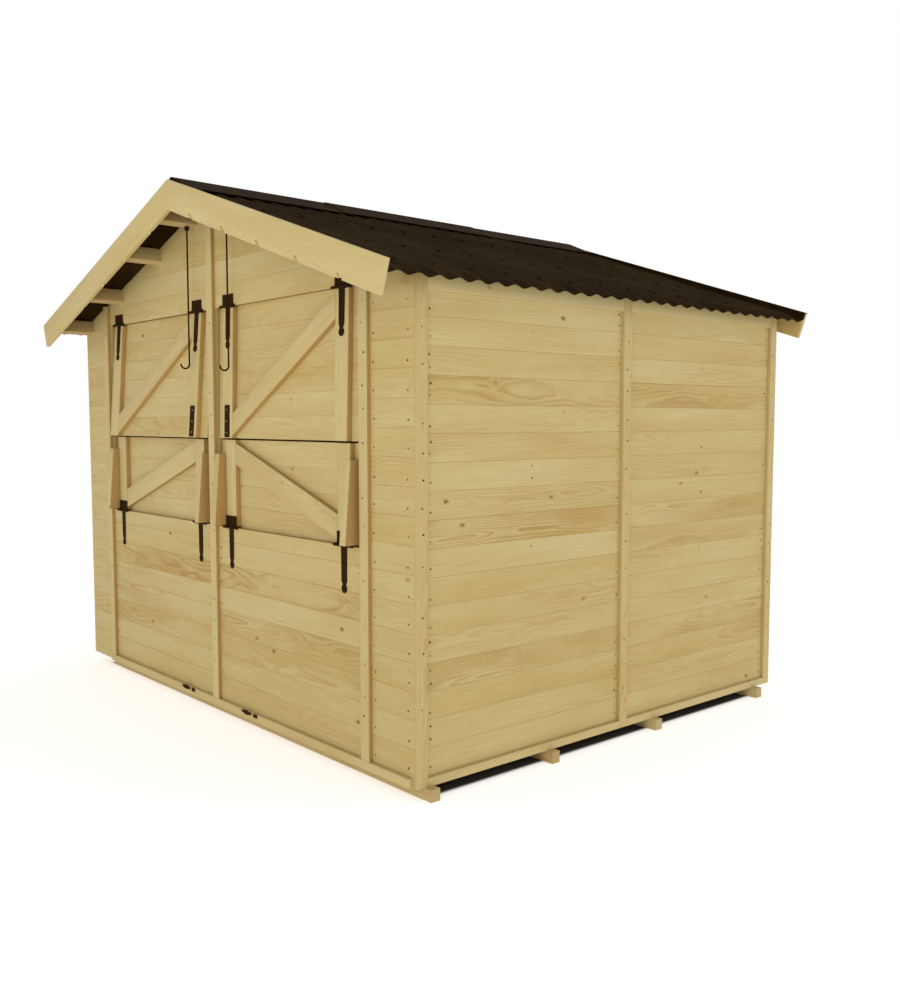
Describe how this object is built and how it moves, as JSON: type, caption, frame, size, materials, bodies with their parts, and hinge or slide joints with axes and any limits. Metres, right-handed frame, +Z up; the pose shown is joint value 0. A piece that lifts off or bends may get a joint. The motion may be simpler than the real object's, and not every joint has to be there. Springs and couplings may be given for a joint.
{
  "type": "wooden market hut",
  "caption": "Boarded gable hut on bearers, with two serving bays at the front: shutters that swing up, counters that fold down, and a corrugated roof.",
  "frame": {"origin": "on the ground, under the middle of the roof's plan", "axes": "+X to the right as seen from the front, +Y to the rear, +Z up"},
  "size_m": [3.2704, 2.742, 2.5522],
  "materials": {
    "pine_boards": "planed, untreated",
    "pine_trim": "planed, untreated",
    "frame_timber": "sawn",
    "bitumen_sheet": "matt",
    "black_iron": "satin black"
  },
  "bodies": {
    "hut": {"bearers": "frame_timber", "floor_deck": "frame_timber", "left_wall": "pine_boards", "right_wall": "pine_boards", "rear_wall": "pine_boards", "rear_gable": "pine_boards", "rear_door": "pine_boards", "front_returns": "pine_boards", "front_gable": "pine_boards", "front_lower_wall": "pine_boards", "front_posts": "frame_timber", "front_rails": "frame_timber", "rear_posts": "frame_timber", "side_studs": "frame_timber", "side_plates": "frame_timber", "left_rafters": "frame_timber", "right_rafters": "frame_timber", "purlins": "frame_timber", "left_roof_sheets": "bitumen_sheet", "right_roof_sheets": "bitumen_sheet", "ridge_cap": "bitumen_sheet", "front_left_bargeboard": "pine_trim", "front_right_bargeboard": "pine_trim", "rear_left_bargeboard": "pine_trim", "rear_right_bargeboard": "pine_trim", "front_trims": "pine_trim", "side_trims": "pine_trim", "sill_batten": "pine_trim", "side_skirts": "pine_trim", "left_fixed_irons": "black_iron", "right_fixed_irons": "black_iron", "hook_eyes": "black_iron"},
    "left_shutter": {"left_shutter_panel": "pine_boards", "left_shutter_battens": "pine_trim", "left_shutter_irons": "black_iron"},
    "right_shutter": {"right_shutter_panel": "pine_boards", "right_shutter_battens": "pine_trim", "right_shutter_irons": "black_iron"},
    "left_counter": {"left_counter_panel": "pine_boards", "left_counter_battens": "pine_trim", "left_counter_wedges": "pine_trim", "left_counter_irons": "black_iron"},
    "right_counter": {"right_counter_panel": "pine_boards", "right_counter_battens": "pine_trim", "right_counter_wedges": "pine_trim", "right_counter_irons": "black_iron"},
    "left_long_hook": {"left_hook": "black_iron"},
    "right_long_hook": {"right_hook": "black_iron"}
  },
  "joints": [
    {"name": "left_shutter_swing", "type": "hinge", "parent": "hut", "child": "left_shutter", "pos_m": [-0.6125, -1.161, 1.96407], "axis": [-1, 0, 0], "range_deg": [-4, 86]},
    {"name": "left_counter_fold", "type": "hinge", "parent": "hut", "child": "left_counter", "pos_m": [-0.6125, -1.161, 0.934], "axis": [1, 0, 0], "range_deg": [0, 90]},
    {"name": "left_hook_swing", "type": "hinge", "parent": "hut", "child": "left_long_hook", "pos_m": [-0.158, -1.197, 2.3544], "axis": [-1, 0, 0], "range_deg": [-3, 61]},
    {"name": "right_shutter_swing", "type": "hinge", "parent": "hut", "child": "right_shutter", "pos_m": [0.6125, -1.161, 1.96407], "axis": [-1, 0, 0], "range_deg": [-1.5, 88.5]},
    {"name": "right_counter_fold", "type": "hinge", "parent": "hut", "child": "right_counter", "pos_m": [0.6125, -1.161, 0.934], "axis": [1, 0, 0], "range_deg": [0, 90]},
    {"name": "right_hook_swing", "type": "hinge", "parent": "hut", "child": "right_long_hook", "pos_m": [0.228, -1.197, 2.33098], "axis": [-1, 0, 0], "range_deg": [-3, 61]}
  ],
  "couplings": [
    {"joint": "left_hook_swing", "follows": "left_shutter_swing", "ratio": 0.68},
    {"joint": "right_hook_swing", "follows": "right_shutter_swing", "ratio": 0.68}
  ]
}
